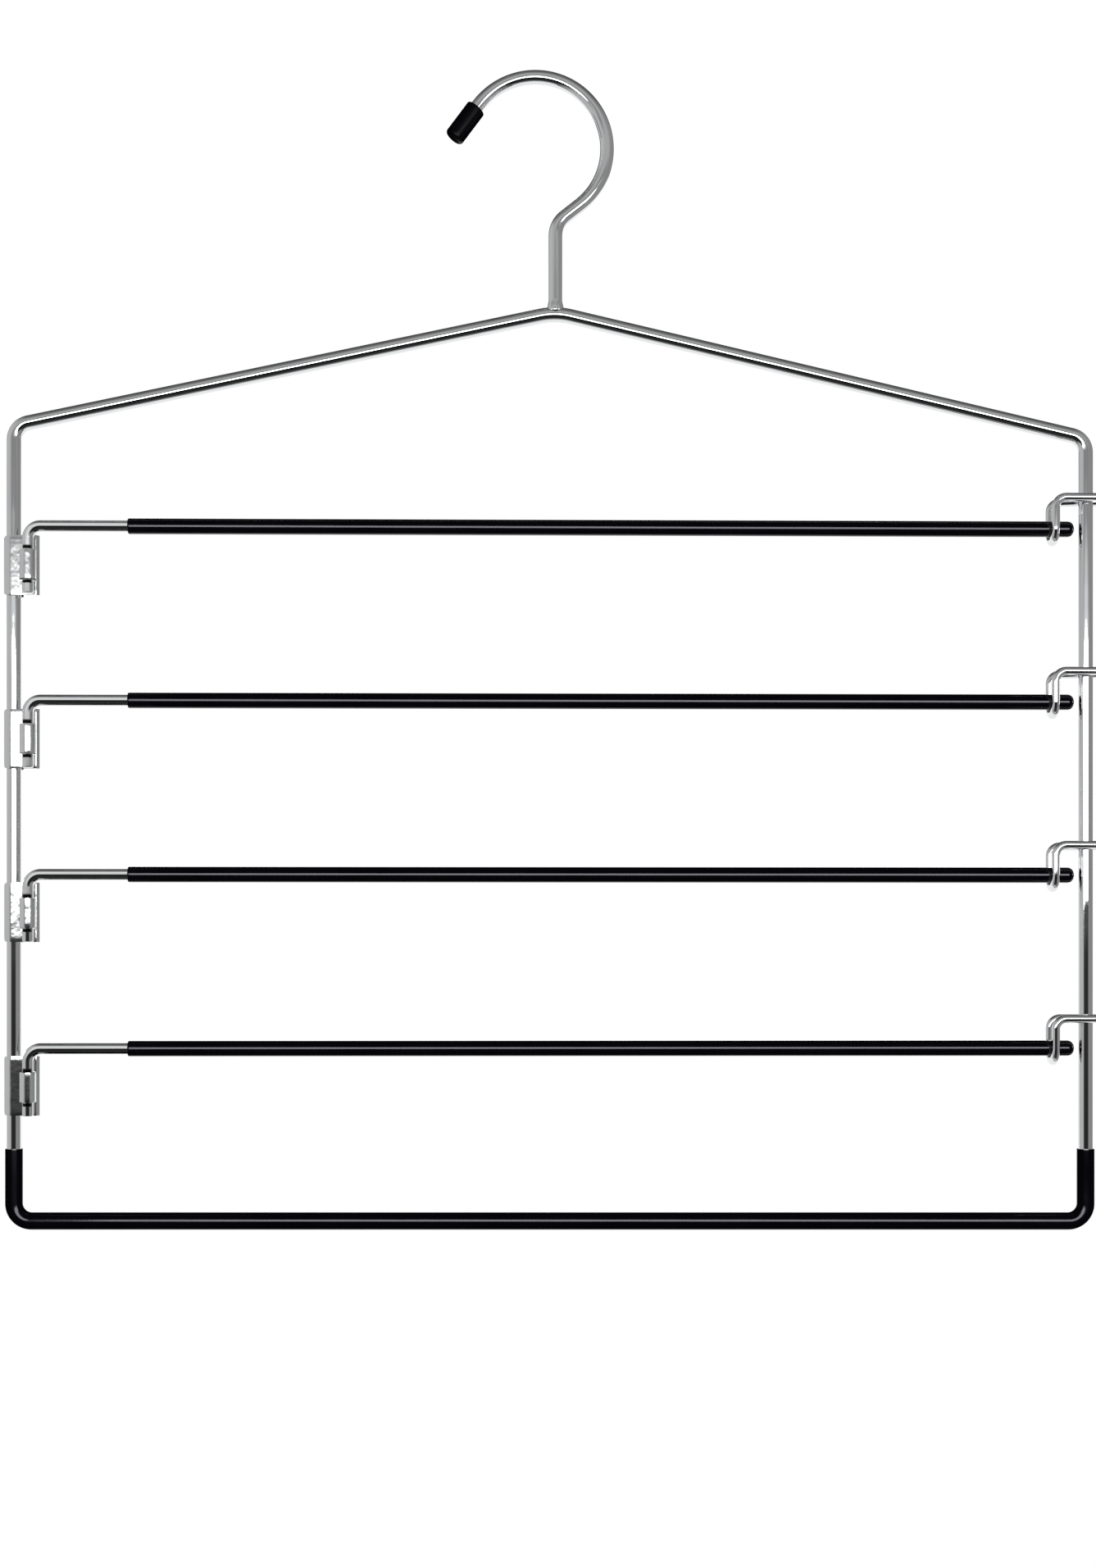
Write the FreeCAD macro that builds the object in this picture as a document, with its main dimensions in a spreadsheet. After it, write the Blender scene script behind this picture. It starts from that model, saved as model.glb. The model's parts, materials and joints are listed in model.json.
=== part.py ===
"""Swing arm pants hanger of bent wire, with four hinged arms over a fixed bottom bar.

The origin is the point inside the hook's bow that rests on the wardrobe rail. +Z is up, +X runs from
the hinged side to the catches and -Y is the front. Lengths are in millimetres, angles in degrees.
"""
import FreeCAD, Part
import math
import os
import re
import Sketcher

ARMS = 4

# Driving dimensions, one cell each. Bends are the wire's centreline radii unless they say inside.
SIZES = {
    # Frame loop. Drops are measured down from the rail seat to the wire's centreline.
    "frame_wire_d": 4.9,
    "upright_spacing": 363.0,
    "apex_drop": 77.6,
    "apex_offset": 1.9,
    "apex_bend": 25.0,
    "left_shoulder_drop": 115.8,
    "right_shoulder_drop": 120.2,
    "shoulder_bend": 6.0,
    "foot_bend": 6.0,
    "first_arm_drop": 150.9,
    "arm_pitch": 58.6,
    # Hook: inside radius of the bow, and the stem's place right of the bow's centre.
    "hook_wire_d": 4.6,
    "bow_radius": 22.0,
    "stem_offset": 6.8,
    "neck_slant": 38.0,
    "neck_bend": 8.0,
    "tip_slant": 53.0,
    "stem_weld_leg": 0.55,
    "stem_weld_rise": 2.2,
    "stem_weld_depth": 1.2,
    "stem_weld_root": 1.0,
    "stem_weld_round": 0.5,
    # Vinyl cap on the hook's end.
    "cap_d": 6.7,
    "cap_start": 1.0,
    "cap_length": 13.0,
    "cap_grip": 10.5,
    "cap_edge": 1.2,
    # Vinyl sleeves on the bottom bar and on the arms.
    "sleeve_fit": 0.05,
    "bar_sleeve_wall": 0.45,
    "bar_sleeve_rise": 24.5,
    "arm_sleeve_wall": 0.65,
    "arm_sleeve_start": 33.7,
    "arm_tip_wall": 2.0,
    "arm_tip_round": 2.1,
    "arm_tip_gap": 1.6,
    # Arm wire, whose bent-down end is the hinge pin.
    "arm_wire_d": 3.8,
    "arm_bend": 4.3,
    # Hinge bracket of folded sheet. The gap is the one under the arm's wire.
    "sheet_t": 0.8,
    "wrap_fit": 0.05,
    "wrap_tail_angle": 30.0,
    "strap_gap": 0.3,
    "pin_fit": 0.08,
    "lance_inside_bend": 0.2,
    "lip_width": 0.8,
    "bracket_height": 20.0,
    "bracket_gap": 0.75,
    "bracket_corner": 2.0,
    "top_band": 5.0,
    "foot_band": 4.4,
    "slit_width": 0.35,
    # Hairpin catch on the other upright.
    "catch_wire_d": 2.8,
    "catch_rise": 10.0,
    "catch_setback": 11.1,
    "catch_bend": 3.5,
    "catch_end": 2.3,
    "catch_fit": 0.3,
    "catch_weld_gap": 0.05,
    "catch_weld_radius": 1.5,
}

# Places in the hanger's frame.
MID_X = "(stem_offset - apex_offset)"
LEFT_X = f"({MID_X} - upright_spacing / 2)"
RIGHT_X = f"({MID_X} + upright_spacing / 2)"
BAR_Z = f"(-first_arm_drop - {ARMS} * arm_pitch)"
# The apex is rounded below the point where the two shoulders' lines cross.
SLOPE = "atan((left_shoulder_drop + right_shoulder_drop - 2 * apex_drop) / upright_spacing)"
APEX_TOP = f"(frame_wire_d / 2 - apex_drop - apex_bend * (1 / cos({SLOPE}) - 1))"

# Hook: centreline radius of the bow, and the point where it runs straight into the cap.
BOW_R = "(bow_radius + hook_wire_d / 2)"
TIP_X = f"(-{BOW_R} * sin(tip_slant))"
TIP_Z = f"({BOW_R} * cos(tip_slant) - bow_radius)"

# Bracket: centreline radii of the wrap round the upright, of the strap round the pin and of its roots.
WRAP_R = "(frame_wire_d / 2 + wrap_fit + sheet_t / 2)"
STRAP_R = "(arm_wire_d / 2 + pin_fit + sheet_t / 2)"
ROOT_R = "(lance_inside_bend + sheet_t / 2)"
# The pin stands against the flange's front. Strap and roots touch the flange's plane, which sets their spread.
STRAP_HALF = f"(2 * sqrt({STRAP_R} * {ROOT_R}))"
STRAP_START = f"({WRAP_R} + sheet_t / 2 + strap_gap)"
STRAP_END = f"({STRAP_START} + 2 * {STRAP_HALF})"
FLANGE_END = f"({STRAP_END} + lip_width)"
PIN_X = f"({STRAP_START} + {STRAP_HALF})"
PIN_Y = f"(-{WRAP_R} - {STRAP_R})"

# Arm: it leaves the flange's plane at a small angle and lies centred in its catch.
PIN_DROP = "(arm_wire_d / 2 + bracket_gap + bracket_height)"
ARM_TURN = f"atan(-{PIN_Y} / (upright_spacing - {PIN_X} - catch_setback))"
ARM_REACH = f"(upright_spacing - {PIN_X} - frame_wire_d / 2 - arm_tip_gap)"
ARM_WIRE_END = f"({ARM_REACH} - arm_tip_wall)"
ARM_BORE_R = "(arm_wire_d / 2 + sleeve_fit)"
ARM_SLEEVE_R = f"({ARM_BORE_R} + arm_sleeve_wall)"

# Catch: the strands clear the sleeve, and the legs close in until they meet the upright.
STRAND_Y = f"({ARM_SLEEVE_R} + catch_fit + catch_wire_d / 2)"
LEG_Y = "(frame_wire_d / 2 + catch_weld_gap + catch_wire_d / 2)"
SPLAY = f"(acos({LEG_Y} / sqrt({STRAND_Y} ^ 2 + catch_setback ^ 2)) - atan(catch_setback / {STRAND_Y}))"

doc = FreeCAD.newDocument("swing_arm_hanger")
sheet = doc.addObject("Spreadsheet::Sheet", "Sizes")
for row, (size_name, size) in enumerate(SIZES.items(), start=1):
    sheet.set(f"A{row}", size_name)
    sheet.set(f"B{row}", str(size))
    sheet.setAlias(f"B{row}", size_name)
doc.recompute()

nodes = []


def cells(text):
    """Turns the size names in a formula into references to their cells."""
    return re.sub(r"[a-z]\w*", lambda word: f"Sizes.{word[0]}" if word[0] in SIZES else word[0], text)


def value(text):
    return float(sheet.evalExpression(cells(text)))


def point(x, y):
    return FreeCAD.Vector(value(x), value(y), 0)


def arm_z(number):
    return f"(-first_arm_drop - {number - 1} * arm_pitch)"


def new_body(label):
    return doc.addObject("PartDesign::Body", label)


def own_plane(body, role):
    return next(item for item in body.Origin.OriginFeatures if item.Role == role)


def place(item, x="0", y="0", z="0", turn=None, axis=FreeCAD.Vector(0, 0, 1)):
    """Sets an item's Placement by formulas, turned about the given axis."""
    if turn:
        item.Placement.Rotation = FreeCAD.Rotation(axis, 1)
        item.setExpression("Placement.Rotation.Angle", cells(turn))
    for way, text in zip("xyz", (x, y, z)):
        item.setExpression(f"Placement.Base.{way}", cells(text))


def new_sketch(body, label, plane, offset="0"):
    """A sketch on one of the body's own planes, moved along the plane's normal."""
    sketch = body.newObject("Sketcher::SketchObject", label)
    sketch.AttachmentSupport = [(own_plane(body, plane), "")]
    sketch.MapMode = "FlatFace"
    sketch.setExpression("AttachmentOffset.Base.z", cells(offset))
    return sketch


def dimension(sketch, name, text, kind, *where):
    """A named dimension driven by a formula of the sizes."""
    index = sketch.addConstraint(Sketcher.Constraint(kind, *where, value(text)))
    sketch.renameConstraint(index, name)
    sketch.setExpression(f"Constraints.{name}", cells(text))


def locate(sketch, name, geometry, vertex, x, y):
    dimension(sketch, f"{name}_x", x, "DistanceX", -1, 1, geometry, vertex)
    dimension(sketch, f"{name}_y", y, "DistanceY", -1, 1, geometry, vertex)


def relate(sketch, kind, *where):
    sketch.addConstraint(Sketcher.Constraint(kind, *where))


def arc_between(centre, start, end, clockwise):
    """The arc about centre from start to end, and which of its ends comes first."""
    if clockwise:
        start, end = end, start
    first = math.atan2(start.y - centre.y, start.x - centre.x)
    last = math.atan2(end.y - centre.y, end.x - centre.x)
    circle = Part.Circle(centre, FreeCAD.Vector(0, 0, 1), (start - centre).Length)
    return Part.ArcOfCircle(circle, first, last), (2, 1) if clockwise else (1, 2)


def draw(sketch, corners, closed):
    """Straight runs from corner to corner. A corner is x, y and the bend that rounds it, or None."""
    spots = [point(x, y) for x, y, bend in corners]
    count = len(corners)
    rounds = []
    for index, (x, y, bend) in enumerate(corners):
        spot = spots[index]
        if bend is None:
            rounds.append((spot, spot, None, False))
            continue
        back = (spots[index - 1] - spot).normalize()
        ahead = (spots[(index + 1) % count] - spot).normalize()
        half = back.getAngle(ahead) / 2
        centre = spot + (back + ahead).normalize() * (value(bend) / math.sin(half))
        setback = value(bend) / math.tan(half)
        rounds.append((spot + back * setback, spot + ahead * setback, centre, back.cross(ahead).z > 0))
    runs = count if closed else count - 1
    lines = []
    for index in range(runs):
        segment = Part.LineSegment(rounds[index][1], rounds[(index + 1) % count][0])
        lines.append(sketch.addGeometry(segment))
    for index, (x, y, bend) in enumerate(corners):
        name = f"corner_{index}"
        if not closed and index == count - 1:
            locate(sketch, name, lines[-1], 2, x, y)
            continue
        if not closed and index == 0:
            locate(sketch, name, lines[0], 1, x, y)
            continue
        before, after = lines[index - 1], lines[index]
        entry, leave, centre, clockwise = rounds[index]
        if bend is None:
            relate(sketch, "Coincident", before, 2, after, 1)
            locate(sketch, name, after, 1, x, y)
            continue
        curve, (first, last) = arc_between(centre, entry, leave, clockwise)
        arc = sketch.addGeometry(curve)
        sharp = sketch.addGeometry(Part.Point(spots[index]), True)
        locate(sketch, name, sharp, 1, x, y)
        relate(sketch, "PointOnObject", sharp, 1, before)
        relate(sketch, "PointOnObject", sharp, 1, after)
        relate(sketch, "Tangent", before, 2, arc, first)
        relate(sketch, "Tangent", arc, last, after, 1)
        dimension(sketch, f"{name}_bend", bend, "Radius", arc)


def ring_section(sketch, x, y, *diameters):
    """Concentric circles about x, y: a wire's round section, or a tube's with two diameters."""
    for index, diameter in enumerate(diameters):
        circle = Part.Circle(point(x, y), FreeCAD.Vector(0, 0, 1), value(diameter) / 2)
        geometry = sketch.addGeometry(circle)
        locate(sketch, f"axis_{index}", geometry, 3, x, y)
        dimension(sketch, f"diameter_{index}", diameter, "Diameter", geometry)


def pipe(body, label, section, path):
    feature = body.newObject("PartDesign::AdditivePipe", label)
    feature.Profile = section
    feature.Spine = path
    return feature


def revolve(body, label, profile, angle, axis="H_Axis"):
    """Turns a profile about its sketch's own horizontal or vertical axis."""
    feature = body.newObject("PartDesign::Revolution", label)
    feature.Profile = profile
    feature.ReferenceAxis = (profile, [axis])
    feature.Angle = angle


def frame_wire():
    """One wire bent into a closed loop, its ends butted in the middle of the bottom bar."""
    body = new_body("frame_wire")
    path = new_sketch(body, "frame_path", "XZ_Plane")
    corners = [
        (MID_X, BAR_Z, None),
        (RIGHT_X, BAR_Z, "foot_bend"),
        (RIGHT_X, "-right_shoulder_drop", "shoulder_bend"),
        ("stem_offset", "-apex_drop", "apex_bend"),
        (LEFT_X, "-left_shoulder_drop", "shoulder_bend"),
        (LEFT_X, BAR_Z, "foot_bend"),
    ]
    draw(path, corners, closed=True)
    section = new_sketch(body, "frame_section", "YZ_Plane", MID_X)
    ring_section(section, "0", BAR_Z, "frame_wire_d")
    pipe(body, "frame_run", section, path)
    nodes.append(body)
    return body


def bottom_sleeve():
    """Vinyl tube along the bottom bar, round both feet and up to the same height on each upright."""
    body = new_body("bottom_sleeve")
    path = new_sketch(body, "sleeve_path", "XZ_Plane")
    top = f"({BAR_Z} + bar_sleeve_rise)"
    corners = [
        (LEFT_X, top, None),
        (LEFT_X, BAR_Z, "foot_bend"),
        (RIGHT_X, BAR_Z, "foot_bend"),
        (RIGHT_X, top, None),
    ]
    draw(path, corners, closed=False)
    section = new_sketch(body, "sleeve_section", "XY_Plane", top)
    bore = "(frame_wire_d + 2 * sleeve_fit)"
    ring_section(section, LEFT_X, "0", bore, f"({bore} + 2 * bar_sleeve_wall)")
    pipe(body, "sleeve_run", section, path)
    nodes.append(body)


def hook_path(body):
    """Stem, neck bend, slanted run, bow and the short straight end that the cap grips."""
    sketch = new_sketch(body, "hook_path", "XZ_Plane")
    slant = math.radians(value("neck_slant"))
    tip = math.radians(value("tip_slant"))
    bend = value("neck_bend")
    centre = point("0", "-bow_radius")
    radius = value(BOW_R)
    run = FreeCAD.Vector(math.cos(slant), math.sin(slant), 0)
    touch = centre + FreeCAD.Vector(math.sin(slant), -math.cos(slant), 0) * radius
    neck = touch - run * ((touch.x - value("stem_offset")) / run.x)
    setback = bend * math.tan((math.pi / 2 - slant) / 2)
    stem_top = neck - FreeCAD.Vector(0, setback, 0)
    neck_end = neck + run * setback
    mouth = centre + FreeCAD.Vector(-math.sin(tip), math.cos(tip), 0) * radius
    end = mouth - FreeCAD.Vector(math.cos(tip), math.sin(tip), 0) * value("cap_start + cap_grip")
    stem = sketch.addGeometry(Part.LineSegment(point("stem_offset", "-apex_drop"), stem_top))
    neck_curve, neck_ends = arc_between(stem_top + FreeCAD.Vector(bend, 0, 0), stem_top, neck_end, True)
    neck_arc = sketch.addGeometry(neck_curve)
    slope = sketch.addGeometry(Part.LineSegment(neck_end, touch))
    bow_curve, bow_ends = arc_between(centre, touch, mouth, False)
    bow = sketch.addGeometry(bow_curve)
    grip = sketch.addGeometry(Part.LineSegment(mouth, end))
    locate(sketch, "foot", stem, 1, "stem_offset", "-apex_drop")
    relate(sketch, "Vertical", stem)
    relate(sketch, "Tangent", stem, 2, neck_arc, neck_ends[0])
    dimension(sketch, "neck", "neck_bend", "Radius", neck_arc)
    relate(sketch, "Tangent", neck_arc, neck_ends[1], slope, 1)
    relate(sketch, "Tangent", slope, 2, bow, bow_ends[0])
    locate(sketch, "bow", bow, 3, "0", "-bow_radius")
    dimension(sketch, "touch_x", f"({BOW_R} * sin(neck_slant))", "DistanceX", -1, 1, bow, bow_ends[0])
    dimension(sketch, "radius", BOW_R, "Radius", bow)
    relate(sketch, "Tangent", bow, bow_ends[1], grip, 1)
    dimension(sketch, "mouth_x", TIP_X, "DistanceX", -1, 1, grip, 1)
    dimension(sketch, "grip", "cap_start + cap_grip", "Distance", grip)
    return sketch


def top_hook(frame):
    """The hook's wire, its foot coped to stand on the frame's apex, and the weld bead round that foot."""
    body = new_body("hook_bend")
    path = hook_path(body)
    section = new_sketch(body, "hook_section", "XY_Plane", "-apex_drop")
    ring_section(section, "stem_offset", "0", "hook_wire_d")
    pipe(body, "hook_run", section, path)
    hook = doc.addObject("Part::Cut", "top_hook")
    hook.Base = body
    hook.Tool = frame
    bead = new_body("bead_blank")
    profile = new_sketch(bead, "bead_profile", "XZ_Plane")
    stem_r = "(hook_wire_d / 2)"
    root = "(-stem_weld_depth - stem_weld_root)"
    corners = [
        ("0", root, None),
        (stem_r, root, None),
        (f"({stem_r} + stem_weld_leg)", "-stem_weld_depth", "stem_weld_round"),
        (stem_r, "stem_weld_rise", None),
        ("0", "stem_weld_rise", None),
    ]
    draw(profile, corners, closed=True)
    revolve(bead, "bead_turned", profile, 360, axis="V_Axis")
    place(bead, "stem_offset", "0", APEX_TOP)
    around_stem = doc.addObject("Part::Cut", "bead_around_stem")
    around_stem.Base = bead
    around_stem.Tool = hook
    weld = doc.addObject("Part::Cut", "hook_weld")
    weld.Base = around_stem
    weld.Tool = frame
    nodes.extend([hook, weld])


def vinyl_end(body, start, bore_r, outer_r, bore_end, end, edge):
    """Half section of a tube with a closed, rounded end, turned about its own axis."""
    profile = new_sketch(body, f"{body.Name}_profile", "XZ_Plane")
    corners = [
        (start, bore_r, None),
        (start, outer_r, None),
        (end, outer_r, edge),
        (end, "0", None),
        (bore_end, "0", None),
        (bore_end, bore_r, None),
    ]
    draw(profile, corners, closed=True)
    revolve(body, f"{body.Name}_turned", profile, 360)
    nodes.append(body)


def hook_tip_cap():
    """Vinyl cap pushed over the hook's straight end."""
    body = new_body("hook_tip_cap")
    bore_r = "(hook_wire_d / 2 + sleeve_fit)"
    bore_end = "(cap_start + cap_grip + sleeve_fit)"
    vinyl_end(body, "cap_start", bore_r, "cap_d / 2", bore_end, "(cap_start + cap_length)", "cap_edge")
    place(body, TIP_X, "0", TIP_Z, turn="180 - tip_slant", axis=FreeCAD.Vector(0, 1, 0))


def strap_path(body, label):
    """Plan of the lanced strap: it leaves the flange in a root bend, rounds the pin's front and comes back."""
    sketch = new_sketch(body, label, "XY_Plane")
    pin = point(PIN_X, PIN_Y)
    root = value(ROOT_R)
    meets = []
    root_arcs = []
    for name, foot_x in (("left_root", STRAP_START), ("right_root", STRAP_END)):
        foot = point(foot_x, f"-{WRAP_R}")
        centre = foot - FreeCAD.Vector(0, root, 0)
        meet = centre + (pin - centre).normalize() * root
        curve, ends = arc_between(centre, foot, meet, name == "left_root")
        arc = sketch.addGeometry(curve)
        dimension(sketch, name, ROOT_R, "Radius", arc)
        dimension(sketch, f"{name}_y", f"(-{WRAP_R} - {ROOT_R})", "DistanceY", -1, 1, arc, 3)
        relate(sketch, "Vertical", arc, ends[0], arc, 3)
        root_arcs.append((arc, ends[1]))
        meets.append(meet)
    curve, ends = arc_between(pin, *meets, False)
    round_pin = sketch.addGeometry(curve)
    locate(sketch, "pin", round_pin, 3, PIN_X, PIN_Y)
    dimension(sketch, "strap", STRAP_R, "Radius", round_pin)
    for (arc, meet_end), strap_end in zip(root_arcs, ends):
        relate(sketch, "Tangent", arc, meet_end, round_pin, strap_end)
    return sketch


def sheet_section(body, label, x, low, high):
    """Section of the sheet across the flange at x, between two heights."""
    sketch = new_sketch(body, label, "YZ_Plane", x)
    front, back = f"(-{WRAP_R} - sheet_t / 2)", f"(sheet_t / 2 - {WRAP_R})"
    draw(sketch, [(front, low, None), (back, low, None), (back, high, None), (front, high, None)], closed=True)
    return sketch


def through_cut(body, label, profile):
    pocket = body.newObject("PartDesign::Pocket", label)
    pocket.Profile = profile
    pocket.Type = "ThroughAll"
    pocket.Midplane = True


def hinge_bracket(number):
    """Sheet clip: wrapped round the upright, with a flange whose lanced strap holds the arm's pin."""
    body = new_body(f"hinge_bracket_{number}")
    wrap_path = new_sketch(body, f"wrap_path_{number}", "XY_Plane")
    centre = FreeCAD.Vector(0, 0, 0)
    front = point("0", f"-{WRAP_R}")
    tail_angle = math.radians(value("wrap_tail_angle"))
    tail = FreeCAD.Vector(math.cos(tail_angle), math.sin(tail_angle), 0) * value(WRAP_R)
    flange = wrap_path.addGeometry(Part.LineSegment(point(FLANGE_END, f"-{WRAP_R}"), front))
    wrap_curve, wrap_ends = arc_between(centre, front, tail, True)
    wrap = wrap_path.addGeometry(wrap_curve)
    locate(wrap_path, "flange", flange, 1, FLANGE_END, f"-{WRAP_R}")
    relate(wrap_path, "Horizontal", flange)
    relate(wrap_path, "Tangent", flange, 2, wrap, wrap_ends[0])
    relate(wrap_path, "Coincident", -1, 1, wrap, 3)
    tail_y = f"({WRAP_R} * sin(wrap_tail_angle))"
    dimension(wrap_path, "tail_y", tail_y, "DistanceY", -1, 1, wrap, wrap_ends[1])
    full = sheet_section(body, f"wrap_section_{number}", FLANGE_END, "0", "bracket_height")
    pipe(body, f"wrap_{number}", full, wrap_path)
    low, high = "foot_band", "(bracket_height - top_band)"
    window = new_sketch(body, f"window_{number}", "XZ_Plane")
    sides = [(STRAP_START, low), (STRAP_END, low), (STRAP_END, high), (STRAP_START, high)]
    draw(window, [(x, z, None) for x, z in sides], closed=True)
    through_cut(body, f"window_cut_{number}", window)
    path = strap_path(body, f"strap_path_{number}")
    strap_low, strap_high = f"({low} + slit_width)", f"({high} - slit_width)"
    section = sheet_section(body, f"strap_section_{number}", STRAP_START, strap_low, strap_high)
    pipe(body, f"strap_{number}", section, path)
    corner_cut(body, number)
    place(body, LEFT_X, "0", f"({arm_z(number)} - {PIN_DROP})")
    nodes.append(body)


def corner_cut(body, number):
    """Rounds the sheet's outer corners where it turns round the upright."""
    edge = f"(-{WRAP_R} - sheet_t / 2)"
    outside = f"({edge} - bracket_corner)"
    inside = f"({edge} + 2 * bracket_corner)"
    for name, level, way in (("foot", "0", "-"), ("top", "bracket_height", "+")):
        back_way = "+" if way == "-" else "-"
        beyond = f"({level} {way} bracket_corner)"
        within = f"({level} {back_way} 2 * bracket_corner)"
        sketch = new_sketch(body, f"{name}_corner_{number}", "XZ_Plane")
        corners = [
            (edge, within, None),
            (edge, level, "bracket_corner"),
            (inside, level, None),
            (inside, beyond, None),
            (outside, beyond, None),
            (outside, within, None),
        ]
        draw(sketch, corners, closed=True)
        through_cut(body, f"{name}_corner_cut_{number}", sketch)


def arm(number):
    """Wire arm with its pin bent down, and the vinyl sleeve that covers it to the tip."""
    wire = new_body(f"arm_wire_{number}")
    path = new_sketch(wire, f"arm_path_{number}", "XZ_Plane")
    draw(path, [("0", f"-{PIN_DROP}", None), ("0", "0", "arm_bend"), (ARM_WIRE_END, "0", None)], closed=False)
    section = new_sketch(wire, f"arm_section_{number}", "XY_Plane", f"-{PIN_DROP}")
    ring_section(section, "0", "0", "arm_wire_d")
    pipe(wire, f"arm_run_{number}", section, path)
    nodes.append(wire)
    sleeve = new_body(f"arm_sleeve_{number}")
    bore_end = f"({ARM_WIRE_END} + sleeve_fit)"
    vinyl_end(sleeve, "arm_sleeve_start", ARM_BORE_R, ARM_SLEEVE_R, bore_end, ARM_REACH, "arm_tip_round")
    for item in (wire, sleeve):
        place(item, f"({LEFT_X} + {PIN_X})", PIN_Y, arm_z(number), turn=ARM_TURN)


def catch(number):
    """Hairpin: a U under the arm, two strands up past it and two legs that close on the upright."""
    body = new_body(f"catch_{number}")
    path = new_sketch(body, f"leg_path_{number}", "XZ_Plane", STRAND_Y)
    path.AttachmentOffset.Rotation = FreeCAD.Rotation(FreeCAD.Vector(0, 1, 0), 1)
    path.setExpression("AttachmentOffset.Rotation.Angle", cells(SPLAY))
    leg_end = "(catch_setback + frame_wire_d / 2 + catch_end)"
    draw(path, [("0", "0", None), ("0", "catch_rise", "catch_bend"), (leg_end, "catch_rise", None)], closed=False)
    section = new_sketch(body, f"catch_section_{number}", "XY_Plane")
    ring_section(section, "0", f"-{STRAND_Y}", "catch_wire_d")
    leg = pipe(body, f"leg_{number}", section, path)
    revolve(body, f"cradle_{number}", section, 180)
    doc.recompute()
    other_leg = body.newObject("PartDesign::Mirrored", f"other_leg_{number}")
    other_leg.Originals = [leg]
    other_leg.MirrorPlane = (own_plane(body, "XZ_Plane"), [""])
    body.Tip = other_leg
    place(body, f"({RIGHT_X} - catch_setback)", "0", arm_z(number))
    nodes.append(body)
    return body


def catch_welds(frame, catches):
    """Weld nuggets that fill the crossings of the catches' legs and the upright."""
    nuggets = []
    for number, hairpin in enumerate(catches, start=1):
        for name, way in (("front", "-"), ("rear", "")):
            ball = doc.addObject("Part::Sphere", f"{name}_ball_{number}")
            ball.setExpression("Radius", cells("catch_weld_radius"))
            place(ball, RIGHT_X, f"{way}(frame_wire_d + catch_weld_gap) / 2", f"({arm_z(number)} + catch_rise)")
            for step, tool in (("upright", frame), ("leg", hairpin)):
                cut = doc.addObject("Part::Cut", f"{name}_{step}_{number}")
                cut.Base = ball
                cut.Tool = tool
                ball = cut
            nuggets.append(ball)
    group = doc.addObject("Part::Compound", "catch_welds")
    group.Links = nuggets
    nodes.append(group)


loop = frame_wire()
bottom_sleeve()
top_hook(loop)
hook_tip_cap()
hairpins = []
for arm_number in range(1, ARMS + 1):
    hinge_bracket(arm_number)
    arm(arm_number)
    hairpins.append(catch(arm_number))
catch_welds(loop, hairpins)
doc.recompute()

failed = [item.Label for item in doc.Objects if {"Invalid", "Error"} & set(item.State)]
failed += [node.Label for node in nodes if node.Shape.isNull() or not node.Shape.isValid()]
if failed:
    raise RuntimeError("failed: " + ", ".join(failed))

os.makedirs("parts", exist_ok=True)
for node in nodes:
    node.Shape.exportStep(f"parts/{node.Label}.step")
    print(node.Label, len(node.Shape.Solids), round(node.Shape.Volume, 2))
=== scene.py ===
import json
import math

import bpy
import numpy as np
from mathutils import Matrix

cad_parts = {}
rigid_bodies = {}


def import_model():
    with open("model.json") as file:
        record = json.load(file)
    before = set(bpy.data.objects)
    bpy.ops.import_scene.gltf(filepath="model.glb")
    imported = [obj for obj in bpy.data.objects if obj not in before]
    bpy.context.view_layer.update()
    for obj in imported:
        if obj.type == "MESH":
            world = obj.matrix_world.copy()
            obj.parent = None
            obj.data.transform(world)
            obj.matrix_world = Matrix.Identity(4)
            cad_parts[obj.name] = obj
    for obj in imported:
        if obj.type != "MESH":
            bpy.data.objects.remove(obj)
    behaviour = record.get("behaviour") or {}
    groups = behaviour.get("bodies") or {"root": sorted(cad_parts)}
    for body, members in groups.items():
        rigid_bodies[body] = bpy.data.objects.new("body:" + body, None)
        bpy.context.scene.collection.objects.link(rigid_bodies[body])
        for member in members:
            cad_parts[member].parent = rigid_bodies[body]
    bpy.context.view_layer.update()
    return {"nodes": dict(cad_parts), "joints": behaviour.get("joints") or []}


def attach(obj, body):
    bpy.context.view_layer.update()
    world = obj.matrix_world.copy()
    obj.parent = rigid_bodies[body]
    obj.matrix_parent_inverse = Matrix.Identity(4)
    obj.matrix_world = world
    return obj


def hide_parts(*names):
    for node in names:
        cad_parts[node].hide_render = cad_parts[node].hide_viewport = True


for leftover in list(bpy.data.objects):
    bpy.data.objects.remove(leftover)
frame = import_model()

# Frame loop: one steel wire of 4.9 mm, bent into five sides with its ends butted under the bottom sleeve,
# then polished and chrome plated. Every other piece is clipped, welded or pushed onto it.
# Sizes in this file are millimetres, measured from the point of the hook that rests on the rail.
MM = 0.001
frame_radius = 2.45
left_x = -176.6
right_x = 186.4
bar_z = -385.3
stem_x = 6.8
apex_drop = 77.6
left_shoulder_drop = 115.8
right_shoulder_drop = 120.2
apex_bend = 25.0
corner_bend = 6.0
round_sides = 48
sharp_angle = math.radians(40)
wave_per_metre = 55.0
wave_height = 0.10
line_share = 0.008
dull_plate = (0.74, 0.75, 0.765, 1)
bright_plate = (0.83, 0.835, 0.84, 1)
same_point = 1e-6
FRONT_TO_BACK = np.array([0.0, 1.0, 0.0])


def unit(arrows):
    """Arrows of length one: each arrow divided by its own length."""
    return arrows / np.linalg.norm(arrows, axis=-1, keepdims=True)


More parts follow.
